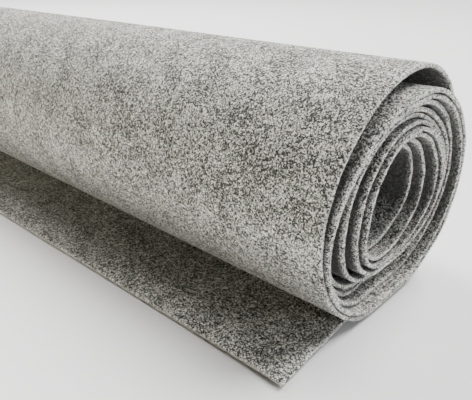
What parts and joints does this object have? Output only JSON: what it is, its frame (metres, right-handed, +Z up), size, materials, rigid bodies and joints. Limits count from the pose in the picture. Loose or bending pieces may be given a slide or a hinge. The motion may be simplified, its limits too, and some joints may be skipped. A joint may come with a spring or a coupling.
{
  "type": "roll of felt",
  "caption": "Long sheet of thick grey marled felt wound into a loose open-centred roll, its outer end lying flat in front and its near end slightly telescoped.",
  "frame": {"origin": "bottom centre of the box round the roll and its loose end, on the surface it lies on", "axes": "+X along the roll to its near, telescoped end, -Y towards the cut edge of the loose outer end, +Z up"},
  "size_m": [1.03, 0.21, 0.1735],
  "materials": {
    "felt": "matt grey marl with light and dark fibre flecks"
  },
  "bodies": {
    "root": {"felt_sheet": "felt"}
  },
  "joints": []
}
